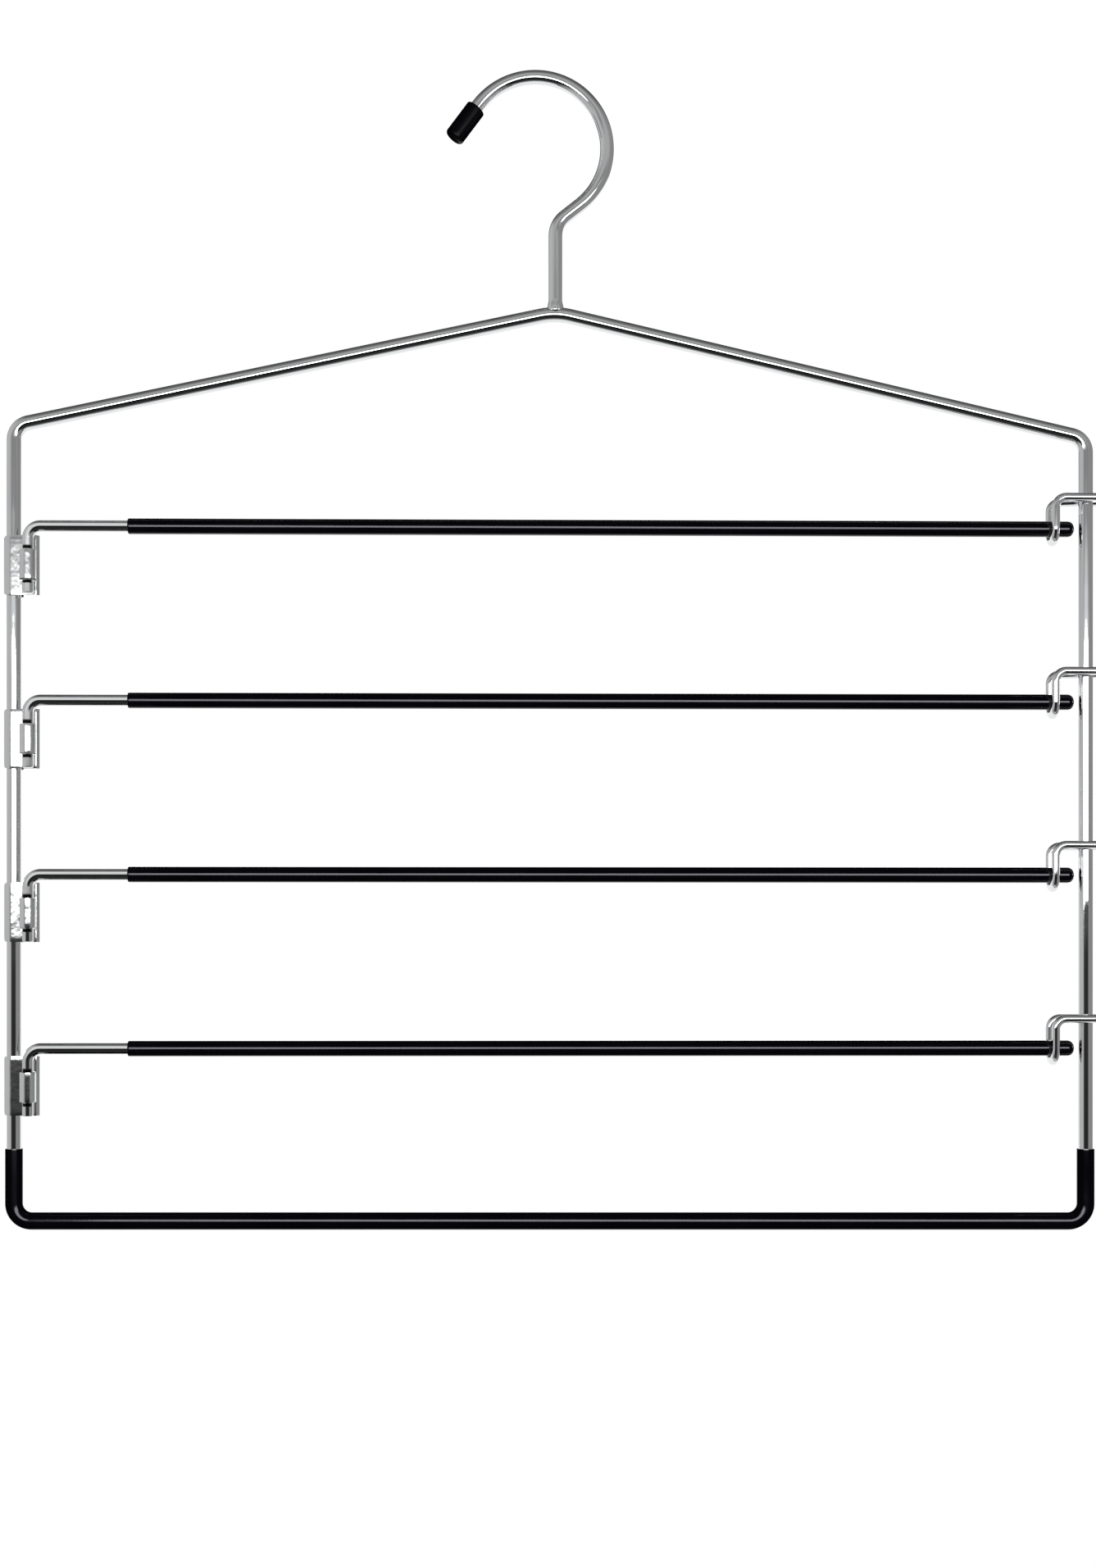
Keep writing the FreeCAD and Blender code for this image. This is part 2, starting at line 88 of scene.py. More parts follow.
def bent_route(corners, bends, steps=20):
    """Straight runs from corner to corner, joined by arcs of the given bends.

    At a corner of half angle h, an arc of radius b starts b / tan h back along each run and its centre
    lies b / sin h in along the bisector. Its points are the two end radii, weighted by the sines of the
    angle left and the angle done. Gives the points, the directions there and the distances along.
    """
    corners = np.asarray(corners, float)
    bends = np.asarray(bends, float)[:, None]
    spots = corners[1:-1]
    back = unit(corners[:-2] - spots)
    onward = unit(corners[2:] - spots)
    half = np.arccos(np.sum(back * onward, axis=1, keepdims=True)) / 2
    centres = spots + unit(back + onward) * bends / np.sin(half)
    first = spots + back * bends / np.tan(half) - centres
    last = spots + onward * bends / np.tan(half) - centres
    sweep = (np.pi - 2 * half)[:, None, :]
    done = np.linspace(0, 1, steps)[None, :, None] * sweep
    left = sweep - done
    arcs = (np.sin(left) * first[:, None] + np.sin(done) * last[:, None]) / np.sin(sweep)
    headings = unit(np.cos(done) * last[:, None] - np.cos(left) * first[:, None])
    points = np.concatenate([corners[:1], (centres[:, None] + arcs).reshape(-1, 3), corners[-1:]])
    ends = unit(corners[[1, -1]] - corners[[0, -2]])
    aheads = np.concatenate([ends[:1], headings.reshape(-1, 3), ends[1:]])
    gaps = np.linalg.norm(np.diff(points, axis=0), axis=1)
    apart = np.append(True, gaps > same_point)
    distances = np.append(0, np.cumsum(gaps))
    return points[apart], aheads[apart], distances[apart]


def carry_round(route, profile, sides, reference=FRONT_TO_BACK):
    """A profile of distance and radius, carried round and along a route.

    Ring i is the route's point at its distance, plus its radius times the cosine of the turn along the
    reference, squared to the route, and the sine along the third direction. The second array is the
    same skin with the route pulled straight, for patterns that follow the wire.
    """
    points, aheads, distances = route
    at, radius = np.asarray(profile, float).T
    centre = np.stack([np.interp(at, distances, points[:, k]) for k in range(3)], axis=1)
    ahead = unit(np.stack([np.interp(at, distances, aheads[:, k]) for k in range(3)], axis=1))
    across = unit(reference - (ahead @ reference)[:, None] * ahead)
    third = np.cross(ahead, across)
    turn = np.linspace(0, 2 * np.pi, sides, endpoint=False)[None, :, None]
    spokes = np.cos(turn) * across[:, None] + np.sin(turn) * third[:, None]
    rings = centre[:, None] + radius[:, None, None] * spokes
    straight = np.concatenate([np.cos(turn), np.sin(turn)], axis=2) * radius[:, None, None]
    run = np.broadcast_to(at[:, None, None], rings.shape[:2] + (1,))
    return rings, np.concatenate([run, straight], axis=2)


def in_scene(name, data):
    """A new object of this data, linked into the scene."""
    made = bpy.data.objects.new(name, data)
    bpy.context.scene.collection.objects.link(made)
    return made


def skin(name, rings, straight, ends="capped"):
    """Quads from ring to ring. The end rings are capped with a flat face, joined to each other or open."""
    rows, sides = rings.shape[:2]
    index = np.arange(rows * sides).reshape(rows, sides)
    near = index if ends == "joined" else index[:-1]
    far = np.roll(index, -1, axis=0) if ends == "joined" else index[1:]
    quads = np.stack([near, np.roll(near, -1, 1), np.roll(far, -1, 1), far], axis=-1)
    faces = quads.reshape(-1, 4).tolist()
    if ends == "capped":
        faces += [index[0, ::-1].tolist(), index[-1].tolist()]
    mesh = bpy.data.meshes.new(name)
    mesh.from_pydata((rings * MM).reshape(-1, 3), [], faces)
    mesh.polygons.foreach_set("use_smooth", np.ones(len(faces), bool))
    mesh.set_sharp_from_angle(angle=sharp_angle)
    drawn = mesh.attributes.new("drawn", "FLOAT_VECTOR", "POINT")
    drawn.data.foreach_set("vector", (straight * MM).astype(np.float32).ravel())
    return in_scene(name, mesh)


def fit(piece, node, body, material):
    """Puts a finished piece in the place of its CAD node."""
    piece.data.materials.append(material)
    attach(piece, body)
    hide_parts(node)


def add_node(tree, kind, **settings):
    """A new shader node of one kind, with its settings made."""
    node = tree.nodes.new(kind)
    for name, setting in settings.items():
        setattr(node, name, setting)
    return node


def stretched_noise(tree, place, stretch, scale, detail):
    """Noise on a place that is first multiplied by the stretch along each axis."""
    scaled = add_node(tree, "ShaderNodeVectorMath", operation="MULTIPLY")
    scaled.inputs[1].default_value = stretch
    tree.links.new(place, scaled.inputs[0])
    noise = add_node(tree, "ShaderNodeTexNoise")
    noise.inputs["Scale"].default_value = scale
    noise.inputs["Detail"].default_value = detail
    tree.links.new(scaled.outputs[0], noise.inputs["Vector"])
    return noise.outputs["Fac"]


def ranged(tree, source, low, high, to_low, to_high):
    """The source's span from low to high, laid on another span and cut off there."""
    made = add_node(tree, "ShaderNodeMapRange")
    for name, number in (("From Min", low), ("From Max", high), ("To Min", to_low), ("To Max", to_high)):
        made.inputs[name].default_value = number
    tree.links.new(source, made.inputs["Value"])
    return made.outputs["Result"]


def maths(tree, operation, *sources):
    """One step of arithmetic on shader values, each a plain number or another node's output."""
    node = add_node(tree, "ShaderNodeMath", operation=operation)
    for source, socket in zip(sources, node.inputs):
        if isinstance(source, float):
            socket.default_value = source
        else:
            tree.links.new(source, socket)
    return node.outputs[0]


def blend(tree, share, first, second):
    """A colour between two: the first times one less the share, plus the second times the share."""
    mix = add_node(tree, "ShaderNodeMix", data_type="RGBA")
    mix.inputs["A"].default_value = first
    mix.inputs["B"].default_value = second
    tree.links.new(share, mix.inputs["Factor"])
    return mix.outputs["Result"]


def emboss(tree, shader, height, rise):
    """Tilts the shader's surface as though the height, from zero to one, stood out by a rise in mm."""
    bump = add_node(tree, "ShaderNodeBump")
    bump.inputs["Distance"].default_value = rise * MM
    tree.links.new(height, bump.inputs["Height"])
    tree.links.new(bump.outputs["Normal"], shader.inputs["Normal"])


def new_material(name):
    """A material, with its tree of nodes and its main shader."""
    material = bpy.data.materials.new(name)
    material.use_nodes = True
    tree = material.node_tree
    return material, tree, tree.nodes["Principled BSDF"]


def plating_group():
    """Marks of polished and plated steel: long polishing lines, soft haze and a slow wave in the surface.

    The roughness is the haze and the lines, each on its own span, plus the satin. The height is the wave
    plus a small share of the lines.
    """
    group = bpy.data.node_groups.new("plating_marks", "ShaderNodeTree")
    sockets = (
        ("Place", "INPUT", "NodeSocketVector"),
        ("Wave Scale", "INPUT", "NodeSocketFloat"),
        ("Satin", "INPUT", "NodeSocketFloat"),
        ("Tint", "OUTPUT", "NodeSocketColor"),
        ("Roughness", "OUTPUT", "NodeSocketFloat"),
        ("Height", "OUTPUT", "NodeSocketFloat"),
    )
    for name, way, kind in sockets:
        group.interface.new_socket(name, in_out=way, socket_type=kind)
    inlet = add_node(group, "NodeGroupInput")
    outlet = add_node(group, "NodeGroupOutput")
    place = inlet.outputs["Place"]
    lines = stretched_noise(group, place, stretch=(0.04, 1.0, 1.0), scale=2600.0, detail=2.0)
    haze = stretched_noise(group, place, stretch=(0.5, 1.0, 1.0), scale=130.0, detail=3.0)
    wave = add_node(group, "ShaderNodeTexNoise")
    wave.inputs["Detail"].default_value = 1.0
    group.links.new(place, wave.inputs["Vector"])
    group.links.new(inlet.outputs["Wave Scale"], wave.inputs["Scale"])
    hazy = ranged(group, haze, low=0.35, high=0.75, to_low=0.015, to_high=0.04)
    lined = ranged(group, lines, low=0.4, high=0.8, to_low=0.0, to_high=0.02)
    rough = maths(group, "ADD", maths(group, "ADD", hazy, lined), inlet.outputs["Satin"])
    height = maths(group, "MULTIPLY_ADD", lines, line_share, wave.outputs["Fac"])
    group.links.new(blend(group, haze, dull_plate, bright_plate), outlet.inputs["Tint"])
    group.links.new(rough, outlet.inputs["Roughness"])
    group.links.new(height, outlet.inputs["Height"])
    return group


def chrome(name, place_node, place_output, wave_scale, wave_rise, satin):
    """Bright chrome plate, whose marks lie on the given place and whose wave rises by millimetres."""
    material, tree, shader = new_material(name)
    shader.inputs["Metallic"].default_value = 1.0
    marks = add_node(tree, "ShaderNodeGroup", node_tree=plating)
    marks.inputs["Wave Scale"].default_value = wave_scale
    marks.inputs["Satin"].default_value = satin
    place = add_node(tree, place_node)
    if place_output == "Vector":
        place.attribute_name = "drawn"
    tree.links.new(place.outputs[place_output], marks.inputs["Place"])
    tree.links.new(marks.outputs["Tint"], shader.inputs["Base Color"])
    tree.links.new(marks.outputs["Roughness"], shader.inputs["Roughness"])
    emboss(tree, shader, marks.outputs["Height"], wave_rise)
    return material


plating = plating_group()
wire_chrome = chrome("wire_chrome", "ShaderNodeAttribute", "Vector", wave_per_metre, wave_height, satin=0.0)

middle_x = (left_x + right_x) / 2
butt = (middle_x, 0, bar_z)
frame_corners = [
    butt,
    (right_x, 0, bar_z),
    (right_x, 0, -right_shoulder_drop),
    (stem_x, 0, -apex_drop),
    (left_x, 0, -left_shoulder_drop),
    (left_x, 0, bar_z),
    butt,
]
frame_bends = [corner_bend, corner_bend, apex_bend, corner_bend, corner_bend]
frame_route = bent_route(frame_corners, frame_bends)
frame_profile = np.column_stack([frame_route[2][:-1], np.full(len(frame_route[2]) - 1, frame_radius)])
frame_loop = skin("frame_loop", *carry_round(frame_route, frame_profile, round_sides), ends="joined")
fit(frame_loop, "frame_wire", "frame", wire_chrome)

# Rail hook: a plated wire of 4.6 mm with a straight stem, a slanted neck and a bow for the wardrobe rail.
# Its foot is shaped to sit astride the frame's apex and is welded there.
hook_radius = 2.3
bow_radius = 22.0 + hook_radius
bow_z = -22.0
neck_slant = math.radians(38.0)
tip_slant = math.radians(53.0)
neck_bend = 8.0
cap_start = 1.0
cap_grip = 10.5
shoulder_slope = math.atan((left_shoulder_drop + right_shoulder_drop - 2 * apex_drop) / (right_x - left_x))
apex_axis_z = -apex_drop - apex_bend * (1 / math.cos(shoulder_slope) - 1)


def on_bow(angle, distance):
    """The point at a distance from the bow's centre: its cosine goes across and its sine up."""
    return np.array([distance * math.cos(angle), 0, bow_z + distance * math.sin(angle)])


bow_from = neck_slant - math.pi / 2
bow_to = tip_slant + math.pi / 2
quarter = (bow_to - bow_from) / 4
bow_corner = bow_radius / math.cos(quarter)
bow_entry = on_bow(bow_from, bow_radius)
neck_z = bow_entry[2] - (bow_entry[0] - stem_x) * math.tan(neck_slant)
tip_way = np.array([-math.cos(tip_slant), 0, -math.sin(tip_slant)])
bow_end = on_bow(bow_to, bow_radius)
hook_corners = [
    (stem_x, 0, apex_axis_z),
    (stem_x, 0, neck_z),
    on_bow(bow_from + quarter, bow_corner),
    on_bow(bow_to - quarter, bow_corner),
    bow_end + tip_way * (cap_start + cap_grip),
]
hook_route = bent_route(hook_corners, [neck_bend, bow_radius, bow_radius], steps=32)
hook_profile = np.column_stack([hook_route[2], np.full(len(hook_route[2]), hook_radius)])
hook_rings, hook_straight = carry_round(hook_route, hook_profile, round_sides)
foot = hook_rings[0]
astride = np.sqrt(frame_radius**2 - foot[:, 1] ** 2) - (foot[:, 0] - stem_x) ** 2 / (2 * apex_bend)
foot[:, 2] = apex_axis_z + astride
rail_hook = skin("rail_hook", hook_rings, hook_straight)
fit(rail_hook, "top_hook", "frame", wire_chrome)

# Hook bead: the weld that fillets the stem's foot onto the apex, left as laid and plated over.
# It climbs the stem, swells a little beyond it and runs down both flanks of the frame wire.
bead_rise = 2.2
bead_depth = 1.2
bead_root = 1.0
bead_leg = 0.55
bead_ripple = 0.05
bead_ripples = 17
bead_sides = 96
bead_rows = 24
bead_roundness = 1.4
bead_lobes = 5
lobe_share = 0.6
lobe_phase = 1.0
ripple_drift = 3.0
apex_top = apex_axis_z + frame_radius


def bead_rings():
    """A rounded swelling turned about the stem, with the weld's ripples round it.

    From the top down, the radius grows past the stem's by the leg, as a sine to a power, and comes back
    at the root. Fine ripples and a few broad lobes are cosines of the turn, strongest where it swells.
    """
    fall = np.linspace(0, 1, bead_rows)[:, None]
    turn = np.linspace(0, 2 * np.pi, bead_sides, endpoint=False)[None, :]
    widest = (bead_rise + bead_depth) / (bead_rise + bead_depth + bead_root)
    share = np.where(fall < widest, fall / widest / 2, 0.5 + (fall - widest) / (1 - widest) / 2)
    swell = np.sin(np.pi * share) ** bead_roundness
    ripple = np.cos(bead_ripples * turn + ripple_drift * share)
    ripple = ripple + lobe_share * np.cos(bead_lobes * turn + lobe_phase)
    radius = hook_radius + swell * (bead_leg + bead_ripple * ripple)
    height = apex_top + bead_rise - fall * (bead_rise + bead_depth + bead_root) + 0 * turn
    rings = np.stack([stem_x + radius * np.cos(turn), -radius * np.sin(turn), height], axis=-1)
    straight = np.stack([height, radius * np.cos(turn), radius * np.sin(turn)], axis=-1)
    return rings, straight


hook_bead = skin("hook_bead", *bead_rings())
fit(hook_bead, "hook_weld", "frame", wire_chrome)

# Hook cap: a short black vinyl thimble pushed over the hook's cut end, so that it doesn't scratch the rail.
# It is dip moulded, with a rounded mouth and end, and duller than the drawn sleeves.
cap_radius = 3.35
cap_length = 13.0
cap_edge = 1.2
cap_mouth_edge = 0.55
sleeve_fit = 0.05
lip_edge = 0.18
pore_share = 0.35
vinyl_relief = 0.004
deep_black = (0.0012, 0.0012, 0.002, 1)
faded_black = (0.003, 0.003, 0.0046, 1)
vinyl_sheen = (0.92, 0.9, 1.0, 1)
CORNER = np.linspace(0, np.pi / 2, 7)


def closed_vinyl(start, end, bore_radius, outer_radius, bore_end, end_edge, mouth_edge):
    """Profile of a vinyl tube with one closed end: up the bore, round the mouth, along and over the end.

    A rounded corner is a quarter circle: the distance goes with its sine and the radius with its cosine.
    A ring past each rounded end keeps the long straight side evenly shaded.
    """
    bore_lip = np.column_stack([
        start + lip_edge * (1 - np.sin(CORNER)),
        bore_radius + lip_edge * (1 - np.cos(CORNER)),
    ])
    outer_lip = np.column_stack([
        start + mouth_edge * (1 - np.cos(CORNER)),
        outer_radius - mouth_edge * (1 - np.sin(CORNER)),
    ])
    over_end = np.column_stack([
        end - end_edge * (1 - np.sin(CORNER)),
        outer_radius - end_edge * (1 - np.cos(CORNER)),
    ])
    straight = [(start + 3 * mouth_edge, outer_radius), (end - 2 * end_edge, outer_radius)]
    return np.concatenate([[(bore_end, bore_radius)], bore_lip, outer_lip, straight, over_end])


def vinyl(name, shine, smoothest, roughest):
    """Blue-black vinyl: faint lines from the drawing, small pores and a gloss between two roughnesses.

    The relief is the lines plus a share of the pores.
    """
    material, tree, shader = new_material(name)
    shader.inputs["Specular IOR Level"].default_value = shine
    shader.inputs["Specular Tint"].default_value = vinyl_sheen
    place = add_node(tree, "ShaderNodeAttribute", attribute_name="drawn").outputs["Vector"]
    lines = stretched_noise(tree, place, stretch=(0.03, 1.0, 1.0), scale=1500.0, detail=2.0)
    pores = stretched_noise(tree, place, stretch=(1.0, 1.0, 1.0), scale=1900.0, detail=3.0)
    gloss = stretched_noise(tree, place, stretch=(0.35, 1.0, 1.0), scale=120.0, detail=3.0)
    rough = ranged(tree, gloss, low=0.3, high=0.7, to_low=smoothest, to_high=roughest)
    tree.links.new(blend(tree, gloss, deep_black, faded_black), shader.inputs["Base Color"])
    tree.links.new(rough, shader.inputs["Roughness"])
    emboss(tree, shader, maths(tree, "MULTIPLY_ADD", pores, pore_share, lines), vinyl_relief)
    return material


def straight_route(start, way, length):
    """A route of two points: the start, and the start plus the length along the way."""
    start = np.asarray(start, float)
    return np.stack([start, start + way * length]), np.stack([way, way]), np.array([0.0, length])


dipped_vinyl = vinyl("dipped_vinyl", shine=0.14, smoothest=0.26, roughest=0.36)
cap_end = cap_start + cap_length
cap_bore_end = cap_start + cap_grip + sleeve_fit
cap_bore = hook_radius + sleeve_fit
cap_profile = closed_vinyl(cap_start, cap_end, cap_bore, cap_radius, cap_bore_end, cap_edge, cap_mouth_edge)
cap_route = straight_route(bow_end, tip_way, cap_end)
hook_cap = skin("hook_cap", *carry_round(cap_route, cap_profile, round_sides))
fit(hook_cap, "hook_tip_cap", "frame", dipped_vinyl)

# Bottom sleeve: a thin black vinyl tube over the whole bottom bar, round both feet and a little way up
# each upright, so that trousers don't slide on the bar. Both ends are cut square.
bar_sleeve_rise = 24.5
bar_sleeve_wall = 0.45
bar_sleeve_bore = frame_radius + sleeve_fit
bar_sleeve_radius = bar_sleeve_bore + bar_sleeve_wall
black_vinyl = vinyl("drawn_vinyl", shine=0.55, smoothest=0.09, roughest=0.16)
sleeve_top = bar_z + bar_sleeve_rise
bar_corners = [(left_x, 0, sleeve_top), (left_x, 0, bar_z), (right_x, 0, bar_z), (right_x, 0, sleeve_top)]
bar_route = bent_route(bar_corners, [corner_bend, corner_bend])
bar_length = bar_route[2][-1]
end_lip = np.column_stack([
    lip_edge * (1 - np.cos(CORNER)),
    bar_sleeve_radius - lip_edge * (1 - np.sin(CORNER)),
])
outside = bar_route[2][1:-1]
bar_profile = np.concatenate([
    end_lip,
    [(3 * lip_edge, bar_sleeve_radius)],
    np.column_stack([outside, np.full(len(outside), bar_sleeve_radius)]),
    [(bar_length - 3 * lip_edge, bar_sleeve_radius)],
    np.column_stack([bar_length - end_lip[::-1, 0], end_lip[::-1, 1]]),
    [(bar_length, bar_sleeve_bore)],
    np.column_stack([outside[::-1], np.full(len(outside), bar_sleeve_bore)]),
    [(0, bar_sleeve_bore)],
])
bar_sleeve = skin("bar_sleeve", *carry_round(bar_route, bar_profile, round_sides), ends="joined")
fit(bar_sleeve, "bottom_sleeve", "frame", black_vinyl)

# Hinge clips: four pieces of 0.8 mm sheet steel, each rolled round the left upright. The flange beside it
# is slit twice, the strap between the slits is pressed forwards round the arm's pin, and the free edge is
# folded back. They are plated after pressing, so the sheet stays a little wavy.
sheet_thickness = 0.8
clip_height = 20.0
clip_fit = 0.05
clip_wrap = frame_radius + clip_fit + sheet_thickness / 2
clip_tail = math.radians(30.0)
clip_corner = 1.6
arm_radius = 1.9
pin_fit = 0.08
root_inside = 0.2
web_gap = 0.3
strap_radius = arm_radius + pin_fit + sheet_thickness / 2
near_root = root_inside + sheet_thickness / 2
far_root = sheet_thickness / 2
strap_start = clip_wrap + sheet_thickness / 2 + web_gap
pin_x = strap_start + 2 * math.sqrt(strap_radius * near_root)
strap_end = pin_x + 2 * math.sqrt(strap_radius * far_root)
fold_radius = 0.5
fold_angle = math.radians(58.0)
fold_leg = 0.92
foot_band = 4.4
top_band = 5.0
slit = 0.35
edge_round = 0.14
edge_segments = 3
edge_angle = math.radians(50)
root_steps = 8
band_rows = 4
elbow_gap = 0.75
clip_drop = arm_radius + elbow_gap + clip_height
first_arm_z = -150.9
arm_pitch = 58.6
sheet_wave_per_metre = 420.0
sheet_wave_height = 0.06
torn_dark = (0.08, 0.08, 0.085, 1)
torn_light = (0.22, 0.22, 0.225, 1)


def clip_sheet(name, foot_z):
    """The clip's middle surface: a plan of arcs and runs, lifted through rows of heights.

    The plan runs from the tail round the upright and along the flange to an edge that is folded back.
    In the middle rows the strap leaves the flange: a root arc, a long arc round the pin and a tighter
    root arc back. Where two arcs touch, the lean is the arctangent of their centres' spacing along the
    flange over the difference of their radii. Faces across the slits are left out. The rows draw together
    towards the upright's far side by a circle's fall, which rounds the corners.
    """
    wrap_turn = np.linspace(clip_tail, 1.5 * np.pi, 41)
    wrap = np.column_stack([clip_wrap * np.cos(wrap_turn), clip_wrap * np.sin(wrap_turn)])
    web = np.column_stack([np.linspace(0, strap_start, 5)[1:], np.full(4, -clip_wrap)])
    near_lean = math.atan2(pin_x - strap_start, strap_radius - near_root)
    far_lean = math.atan2(strap_end - pin_x, strap_radius - far_root)
    near_turn = np.linspace(0, np.pi - near_lean, root_steps)[1:]
    near = np.column_stack([np.sin(near_turn), np.cos(near_turn) - 1]) * near_root + (strap_start, -clip_wrap)
    pin_turn = np.linspace(near_lean, 2 * np.pi - far_lean, 31)[1:-1]
    loop = np.column_stack([-np.sin(pin_turn), np.cos(pin_turn) - 1]) * strap_radius + (pin_x, -clip_wrap)
    far_turn = np.linspace(np.pi - far_lean, 0, root_steps)
    far = np.column_stack([-np.sin(far_turn), np.cos(far_turn) - 1]) * far_root + (strap_end, -clip_wrap)
    strap = np.concatenate([near, loop, far])
    flat = np.column_stack([
        np.linspace(strap_start, strap_end, len(strap) + 1)[1:],
        np.full(len(strap), -clip_wrap),
    ])
    fold_turn = np.linspace(0, fold_angle, 9)[1:]
    fold = np.column_stack([np.sin(fold_turn), 1 - np.cos(fold_turn)]) * fold_radius
    leg = np.linspace(0, fold_leg, 4)[1:, None] * (math.cos(fold_angle), math.sin(fold_angle))
    lip = np.concatenate([fold, fold[-1] + leg]) + (strap_end, -clip_wrap)
    foot_rows = np.linspace(0, foot_band, band_rows)
    middle_rows = np.linspace(foot_band + slit, clip_height - top_band - slit, 8)
    top_rows = np.linspace(clip_height - top_band, clip_height, band_rows)
    rows = np.concatenate([foot_rows, middle_rows, top_rows])
    before = np.concatenate([wrap, web])
    columns = len(before) + len(strap) + len(lip)
    plan = np.empty((len(rows), columns, 2))
    plan[:, : len(before)] = before
    lanced = slice(len(before), len(before) + len(strap))
    pressed = slice(len(foot_rows), len(foot_rows) + len(middle_rows))
    plan[:, lanced] = flat
    plan[pressed, lanced] = strap
    plan[:, lanced.stop :] = lip
    inward = np.clip(clip_corner - clip_wrap - plan[..., 0], 0, clip_corner)
    cut = clip_corner - np.sqrt(clip_corner**2 - inward**2)
    heights = cut + rows[:, None] / clip_height * (clip_height - 2 * cut)
    points = np.dstack([left_x + plan[..., 0], plan[..., 1], foot_z + heights])
    index = np.arange(len(rows) * columns).reshape(len(rows), columns)
    quads = np.stack([index[:-1, :-1], index[:-1, 1:], index[1:, 1:], index[1:, :-1]], axis=-1)
    kept = np.ones(quads.shape[:2], bool)
    over_lance = slice(lanced.start - 1, lanced.stop - 1)
    kept[len(foot_rows) - 1, over_lance] = False
    kept[len(foot_rows) + len(middle_rows) - 1, over_lance] = False
    mesh = bpy.data.meshes.new(name)
    mesh.from_pydata((points * MM).reshape(-1, 3), [], quads[kept].tolist())
    mesh.polygons.foreach_set("use_smooth", np.ones(len(mesh.polygons), bool))
    return mesh


def sheared_edge():
    """Edges of the sheet where the die has torn it: dull, streaked through the sheet and thinly plated."""
    material, tree, shader = new_material("sheared_edge")
    shader.inputs["Metallic"].default_value = 1.0
    place = add_node(tree, "ShaderNodeTexCoord").outputs["Object"]
    streaks = stretched_noise(tree, place, stretch=(1.0, 0.3, 1.0), scale=1800.0, detail=2.0)
    rough = ranged(tree, streaks, low=0.3, high=0.7, to_low=0.4, to_high=0.6)
    tree.links.new(blend(tree, streaks, torn_dark, torn_light), shader.inputs["Base Color"])
    tree.links.new(rough, shader.inputs["Roughness"])
    return material


torn_steel = sheared_edge()
sheet_chrome = chrome(
    "sheet_chrome", "ShaderNodeTexCoord", "Object", sheet_wave_per_metre, sheet_wave_height, satin=0.1
)
for number in range(1, 5):
    clip_name = f"hinge_clip_{number}"
    clip_foot = first_arm_z - (number - 1) * arm_pitch - clip_drop
    clip = in_scene(clip_name, clip_sheet(clip_name, clip_foot))
    gauge = clip.modifiers.new("gauge", "SOLIDIFY")
    gauge.thickness = sheet_thickness * MM
    gauge.offset = 0
    gauge.use_even_offset = True
    gauge.material_offset_rim = 1
    softened = clip.modifiers.new("softened_edges", "BEVEL")
    softened.width = edge_round * MM
    softened.segments = edge_segments
    softened.limit_method = "ANGLE"
    softened.angle_limit = edge_angle
    fit(clip, f"hinge_bracket_{number}", "frame", sheet_chrome)
    clip.data.materials.append(torn_steel)

# Arm wires: four plated wires of 3.8 mm. The left end of each is bent down to stand in its hinge clip as
# the pin, and the rest runs under the sleeve to the catch. Painted shade darkens each pin's front at the
# strap's ends.
arm_bend = 4.3
arm_tip_gap = 1.6
arm_tip_wall = 2.0
hairpin_setback = 11.1
arm_reach = right_x - left_x - pin_x - frame_radius - arm_tip_gap
arm_turn = math.atan((clip_wrap + strap_radius) / (right_x - left_x - pin_x - hairpin_setback))
cut_edge = 0.3
arm_sides = 40
# Painted shade: a dark, rougher colour on the front of each pin, just below and above the strap, standing in
# for the shade in the slits.
slit_shade_smear = 0.5
slit_shade_under = 1.2
slit_shade_over = 1.6
slit_shade_start = 0.1
slit_shade_fade = 0.3
slit_shade_full = -0.75
slit_shade_none = -0.45
slit_shade_roughness = 0.35
slit_shade_colour = (0.012, 0.011, 0.01, 1)
arm_way = np.array([math.cos(arm_turn), math.sin(arm_turn), 0])
arm_side = np.array([-math.sin(arm_turn), math.cos(arm_turn), 0])


def cut_wire(route, radius, edge):
    """Profile of a wire whose two cut ends are rounded over by quarter circles of the given edge."""
    length = route[2][-1]
    start = np.column_stack([edge * (1 - np.cos(CORNER)), radius - edge * (1 - np.sin(CORNER))])
    inner = route[2][1:-1]
    along = np.column_stack([inner, np.full(len(inner), radius)])
    finish = np.column_stack([length - start[::-1, 0], start[::-1, 1]])
    return np.concatenate([start, along, finish])


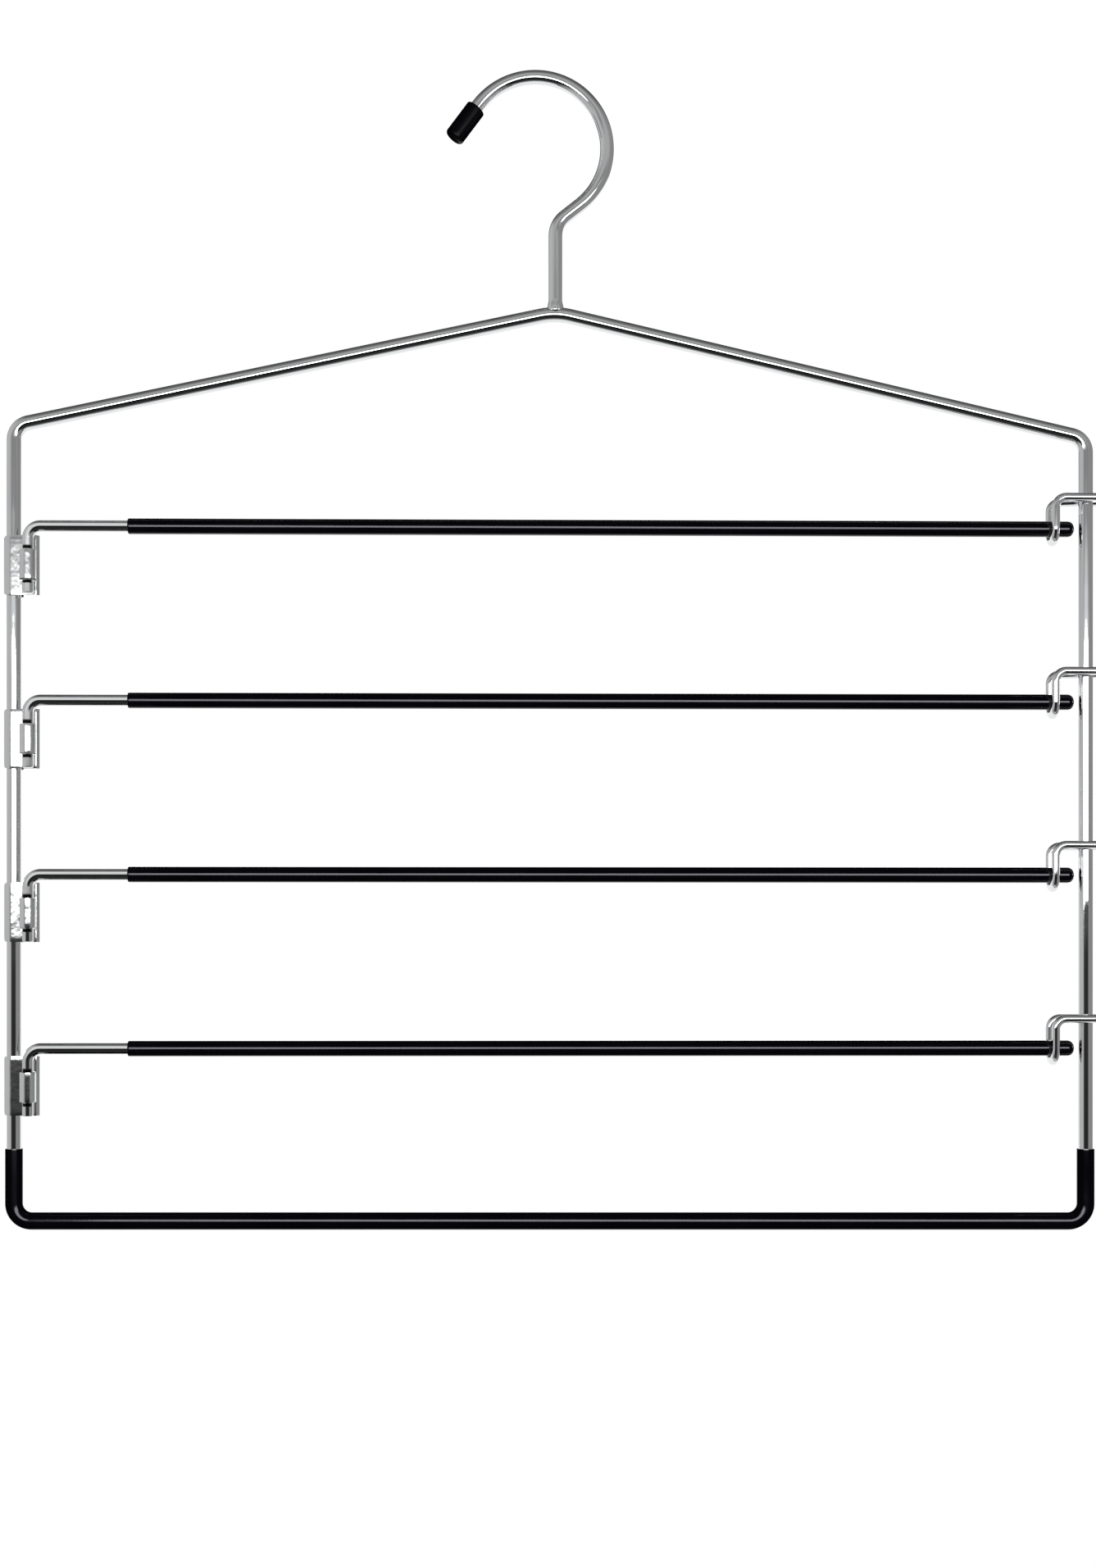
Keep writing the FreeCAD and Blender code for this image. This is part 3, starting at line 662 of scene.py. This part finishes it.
def chrome_with_painted_shade(name, dabs):
    """Bright chrome with dark dabs of painted shade at the front, each between two distances along the wire.

    A dab is the product of two ramps on the distance, one up and one down, and one on the turn round the
    wire. Noise shifts the distance, so that the dabs have uneven edges.
    """
    material = chrome(name, "ShaderNodeAttribute", "Vector", wave_per_metre, wave_height, satin=0.0)
    tree = material.node_tree
    shader = tree.nodes["Principled BSDF"]
    place = add_node(tree, "ShaderNodeAttribute", attribute_name="drawn").outputs["Vector"]
    parts = add_node(tree, "ShaderNodeSeparateXYZ")
    tree.links.new(place, parts.inputs[0])
    uneven = stretched_noise(tree, place, stretch=(1.0, 1.0, 1.0), scale=700.0, detail=2.0)
    smear = maths(tree, "MULTIPLY_ADD", uneven, slit_shade_smear * MM, parts.outputs["X"])
    along = []
    for low, high in dabs:
        rise = ranged(tree, smear, (low - slit_shade_start) * MM, (low + slit_shade_start) * MM, 0, 1)
        fall = ranged(tree, smear, (high - slit_shade_fade) * MM, (high + slit_shade_fade) * MM, 1, 0)
        along.append(maths(tree, "MULTIPLY", rise, fall))
    full = slit_shade_full * arm_radius * MM
    none = slit_shade_none * arm_radius * MM
    front = ranged(tree, parts.outputs["Y"], full, none, 1, 0)
    cover = maths(tree, "MULTIPLY", maths(tree, "ADD", *along), front)
    # The painted shade's dark colour and roughness take the chrome's place where the cover is.
    colour = add_node(tree, "ShaderNodeMix", data_type="RGBA")
    colour.inputs["B"].default_value = slit_shade_colour
    rough = add_node(tree, "ShaderNodeMix")
    rough.inputs["B"].default_value = slit_shade_roughness
    for mix, socket in ((colour, shader.inputs["Base Color"]), (rough, shader.inputs["Roughness"])):
        tree.links.new(cover, mix.inputs["Factor"])
        tree.links.new(socket.links[0].from_socket, mix.inputs["A"])
        tree.links.new(mix.outputs["Result"], socket)
    return material


strap_foot = foot_band + slit
strap_top = clip_height - top_band - slit
# Where the painted shade lies on each pin: just below the strap's foot and just above its top.
slit_shade_dabs = [(strap_foot - slit_shade_under, strap_foot), (strap_top, strap_top + slit_shade_over)]
arm_chrome = chrome_with_painted_shade("arm_chrome", slit_shade_dabs)
elbows = {joint["child"]: np.array(joint["pos_m"]) / MM for joint in frame["joints"]}
for number in range(1, 5):
    elbow = elbows[f"arm_{number}"]
    pin_foot = elbow - (0, 0, clip_drop)
    arm_route = bent_route([pin_foot, elbow, elbow + arm_way * (arm_reach - arm_tip_wall)], [arm_bend])
    arm_rings = carry_round(arm_route, cut_wire(arm_route, arm_radius, cut_edge), arm_sides, arm_side)
    swing_wire = skin(f"swing_wire_{number}", *arm_rings)
    fit(swing_wire, f"arm_wire_{number}", f"arm_{number}", arm_chrome)

# Arm sleeves: black vinyl tubes pushed over the four arms from the tip, closed and rounded there.
# They grip the trousers and leave a short length of bare wire beside the hinge.
sleeve_start = 33.7
sleeve_wall = 0.65
sleeve_bore = arm_radius + sleeve_fit
sleeve_radius = sleeve_bore + sleeve_wall
tip_round = 2.1
sleeve_mouth_edge = 0.3
sleeve_bore_end = arm_reach - arm_tip_wall + sleeve_fit
sleeve_profile = closed_vinyl(
    sleeve_start, arm_reach, sleeve_bore, sleeve_radius, sleeve_bore_end, tip_round, sleeve_mouth_edge
)
for number in range(1, 5):
    sleeve_route = straight_route(elbows[f"arm_{number}"], arm_way, arm_reach)
    sleeve_rings = carry_round(sleeve_route, sleeve_profile, round_sides, arm_side)
    swing_sleeve = skin(f"swing_sleeve_{number}", *sleeve_rings)
    fit(swing_sleeve, f"arm_sleeve_{number}", f"arm_{number}", black_vinyl)

# Hairpin catches: four pieces of 2.8 mm plated wire, each bent to a U that hangs under an arm's tip and
# two legs that straddle the right upright, where they are welded.
hairpin_radius = 1.4
hairpin_rise = 10.0
hairpin_bend = 3.5
hairpin_sides = 32
strand_gap = 0.3
leg_gap = 0.05
leg_overhang = 2.3
strand_y = sleeve_radius + strand_gap + hairpin_radius
leg_y = frame_radius + leg_gap + hairpin_radius
leg_length = hairpin_setback + frame_radius + leg_overhang
splay = math.acos(leg_y / math.hypot(strand_y, hairpin_setback)) - math.atan(hairpin_setback / strand_y)
hairpin_reference = np.array([1.0, 0, -0.25])
for number in range(1, 5):
    cradle = np.array([right_x - hairpin_setback, 0, first_arm_z - (number - 1) * arm_pitch])
    leg_x = leg_length * math.cos(splay)
    leg_end_y = strand_y - leg_length * math.sin(splay)
    hairpin_corners = cradle + np.array([
        (leg_x, -leg_end_y, hairpin_rise),
        (0, -strand_y, hairpin_rise),
        (0, -strand_y, -strand_y),
        (0, strand_y, -strand_y),
        (0, strand_y, hairpin_rise),
        (leg_x, leg_end_y, hairpin_rise),
    ])
    hairpin_route = bent_route(hairpin_corners, [hairpin_bend, strand_y, strand_y, hairpin_bend])
    hairpin_profile = cut_wire(hairpin_route, hairpin_radius, cut_edge)
    hairpin_rings = carry_round(hairpin_route, hairpin_profile, hairpin_sides, hairpin_reference)
    hairpin = skin(f"hairpin_{number}", *hairpin_rings)
    fit(hairpin, f"catch_{number}", "frame", wire_chrome)

# Catch welds: small resistance-weld nuggets in the crossings of the hairpins' legs and the upright,
# plated with the rest. The frame's own solids have their shape.
frame["nodes"]["catch_welds"].material_slots[0].material = sheet_chrome

# Studio: a pale floor far below the rail and a white surround. The fixed pieces, the vinyl and the arm wires
# have a softbox each. A dim room in front and a low card show in the plated pieces alone, as cards are set
# for a product picture. Sizes from here on are metres.
hanger_middle = np.array([0.0043, 0, -0.2])
floor_z = -1.9
floor_reach = 12.0
room_radius = 1.6
room_lift = math.radians(30)
room_half_angle = math.radians(126)
shell_half_angle = math.radians(150)
room_pitches = (-70, -25, -3, 7, 9, 10, 14.5, 20, 27, 40, 52, 64, 78, 100, 150)
room_greys = (0.04, 0.012, 0.03, 0.30, 0.30, 0.85, 0.30, 0.24, 0.46, 0.44, 0.33, 0.22, 0.14, 0.09, 0.1)
side_greys = (0.55, 0.28)
side_from = 0.45
side_blend = 0.3
card_edges = np.array([-0.36, -0.14, 0.07, 0.6])
card_greys = np.array([0.04, 0.45, 0.95, 1.0])
card_half_width = 0.6
card_drop = 1.0
surround_light = (0.5, 0.5, 0.5, 1)
surround_white = (1, 1, 1, 1)
floor_grey = (0.8, 0.8, 0.8, 1)
floor_lift = (0.6, 0.6, 0.6, 1)
SEEN = ("Is Camera Ray", "Is Glossy Ray", "Is Transmission Ray")


def seen_rays(tree):
    """One for the rays that show a background, to the eye or in metal and glass, and zero for the rest."""
    path = add_node(tree, "ShaderNodeLightPath")
    total = path.outputs[SEEN[0]]
    for name in SEEN[1:]:
        total = maths(tree, "MAXIMUM", total, path.outputs[name])
    return total


def white_surround():
    """A white background for the rays that show it, and grey light for the rest."""
    world = bpy.data.worlds.new("white_surround")
    world.use_nodes = True
    tree = world.node_tree
    tree.nodes.clear()
    light = add_node(tree, "ShaderNodeBackground")
    light.inputs["Color"].default_value = surround_light
    white = add_node(tree, "ShaderNodeBackground")
    white.inputs["Color"].default_value = surround_white
    mix = add_node(tree, "ShaderNodeMixShader")
    tree.links.new(seen_rays(tree), mix.inputs["Fac"])
    tree.links.new(light.outputs[0], mix.inputs[1])
    tree.links.new(white.outputs[0], mix.inputs[2])
    output = add_node(tree, "ShaderNodeOutputWorld")
    tree.links.new(mix.outputs[0], output.inputs["Surface"])
    return world


def floor_paint():
    """Pale matt paint, lifted to white for the rays that show it, so that a shadow still darkens it."""
    material, tree, shader = new_material("floor_paint")
    shader.inputs["Base Color"].default_value = floor_grey
    shader.inputs["Roughness"].default_value = 1.0
    shader.inputs["Specular IOR Level"].default_value = 0.0
    shader.inputs["Emission Color"].default_value = floor_lift
    tree.links.new(seen_rays(tree), shader.inputs["Emission Strength"])
    return material


def room_shell():
    """Part of a sphere round an axis that points to the front and a little up, with a glow at each point.

    The lean from the axis and the turn about it are the two parameters: the way out is the cosine of the
    lean along the axis, plus its sine across. The glow follows the pitch, near black low in front and grey
    above, goes over to the grey of each side, and is white past the room.
    """
    lean = np.linspace(0, shell_half_angle, 150)[:, None]
    turn = np.linspace(0, 2 * np.pi, 144, endpoint=False)[None, :]
    front = np.array([0, -math.cos(room_lift), math.sin(room_lift)])
    up = np.array([0, math.sin(room_lift), math.cos(room_lift)])
    side = np.array([1.0, 0, 0])
    ways = (np.cos(lean)[..., None] + 0 * turn[..., None]) * front
    ways = ways + np.sin(lean)[..., None] * (np.cos(turn)[..., None] * side + np.sin(turn)[..., None] * up)
    x, y, z = np.moveaxis(ways, -1, 0)
    pitch = np.degrees(np.arctan2(z, -y))
    aside = np.clip((np.abs(x) - side_from) / side_blend, 0, 1)
    glow = (1 - aside) * np.interp(pitch, room_pitches, room_greys)
    glow = glow + aside * np.interp(x, (-1, 1), side_greys)
    glow = np.where(lean > room_half_angle, 1.0, glow)
    shell = skin("dim_room", ways * room_radius / MM, ways, ends="open")
    lit = shell.data.attributes.new("glow", "FLOAT", "POINT")
    lit.data.foreach_set("value", glow.astype(np.float32).ravel())
    return shell


def low_card():
    """A level card under the frame, in strips from front to back, whose glow rises to white at the back.

    Its points are each strip's edge in turn, at the left and right half width, all at the drop.
    """
    edges = len(card_edges)
    sides = np.array([-card_half_width, card_half_width])
    points = np.column_stack([
        np.tile(sides, edges),
        np.repeat(card_edges, 2),
        np.full(2 * edges, -card_drop),
    ])
    index = np.arange(2 * edges).reshape(edges, 2)
    faces = np.column_stack([index[:-1], index[1:, ::-1]]).tolist()
    mesh = bpy.data.meshes.new("low_card")
    mesh.from_pydata(points, [], faces)
    lit = mesh.attributes.new("glow", "FLOAT", "POINT")
    lit.data.foreach_set("value", np.repeat(card_greys, 2).astype(np.float32))
    return in_scene("low_card", mesh)


def pieces_of(name, *materials):
    """A collection of the pieces whose first material is one of these."""
    group = bpy.data.collections.new(name)
    for piece in bpy.context.scene.objects:
        if piece.type == "MESH" and piece.data.materials[0] in materials:
            group.objects.link(piece)
    return group


def room_glow():
    """Light from the room's surface, as strong as the glow stored on it."""
    material = bpy.data.materials.new("room_glow")
    material.use_nodes = True
    material.cycles.emission_sampling = "NONE"
    tree = material.node_tree
    tree.nodes.clear()
    stored = add_node(tree, "ShaderNodeAttribute", attribute_name="glow")
    light = add_node(tree, "ShaderNodeEmission")
    tree.links.new(stored.outputs["Fac"], light.inputs["Strength"])
    output = add_node(tree, "ShaderNodeOutputMaterial")
    tree.links.new(light.outputs[0], output.inputs["Surface"])
    return material


def softbox(name, width, height, watts, place, lean, receivers):
    """A rectangle of light in front of the hanger, leaned down by an angle in degrees."""
    light = bpy.data.lights.new(name, "AREA")
    light.shape = "RECTANGLE"
    light.size = width
    light.size_y = height
    light.energy = watts
    lamp = in_scene(name, light)
    lamp.location = place
    lamp.rotation_euler = (math.radians(90 - lean), 0, 0)
    lamp.visible_camera = False
    lamp.light_linking.receiver_collection = receivers


bpy.context.scene.world = white_surround()

floor_mesh = bpy.data.meshes.new("floor")
floor_corners = np.array([(-1, -1), (1, -1), (1, 1), (-1, 1)]) * floor_reach
floor_mesh.from_pydata(np.column_stack([floor_corners, np.full(4, floor_z)]), [], [(0, 1, 2, 3)])
floor_mesh.materials.append(floor_paint())
floor = in_scene("floor", floor_mesh)

swing_wires = pieces_of("swing_wires", arm_chrome)
vinyl_pieces = pieces_of("vinyl_pieces", black_vinyl, dipped_vinyl)
spared_pieces = pieces_of("spared_pieces", arm_chrome, black_vinyl, dipped_vinyl)
fixed_plated = pieces_of("fixed_plated", wire_chrome, sheet_chrome)
plated = pieces_of("plated", wire_chrome, sheet_chrome, arm_chrome)
glow_paint = room_glow()
for surround, receivers in ((room_shell(), plated), (low_card(), fixed_plated)):
    surround.location = hanger_middle
    surround.data.materials.append(glow_paint)
    surround.visible_camera = False
    surround.visible_diffuse = False
    surround.visible_shadow = False
    surround.light_linking.receiver_collection = receivers

for member in spared_pieces.collection_objects:
    member.light_linking.link_state = "EXCLUDE"
softbox(
    "softbox",
    width=1.0, height=0.18, watts=3.4, place=(0.05, -0.71, -0.16), lean=0.0, receivers=spared_pieces,
)
softbox(
    "tall_softbox",
    width=0.86, height=0.29, watts=3.9, place=(0.12, -0.71, -0.215), lean=0.0, receivers=vinyl_pieces,
)
softbox(
    "upper_softbox",
    width=1.6, height=0.96, watts=1.9, place=(-0.1, -0.82, 0.166), lean=24.0, receivers=swing_wires,
)

# Camera: level, straight in front and a little below the middle, as the hanger was photographed.
# Its shift slides the frame up, so that the uprights stay parallel.
frame_height_px = 1913
mm_per_px = 0.27774
camera_distance = 0.70
picture_centre_x = 0.0043
picture_centre_z = -0.2372
camera_z = -0.300
picture_height = frame_height_px * mm_per_px * MM
camera_data = bpy.data.cameras.new("camera")
camera_data.sensor_width = 36.0
camera_data.lens = camera_data.sensor_width * camera_distance / picture_height
camera_data.shift_y = (picture_centre_z - camera_z) / picture_height
camera = in_scene("camera", camera_data)
camera.location = (picture_centre_x, -camera_distance, camera_z)
camera.rotation_euler = (math.radians(90), 0, 0)
bpy.context.scene.camera = camera
bpy.context.scene.view_settings.view_transform = "Standard"
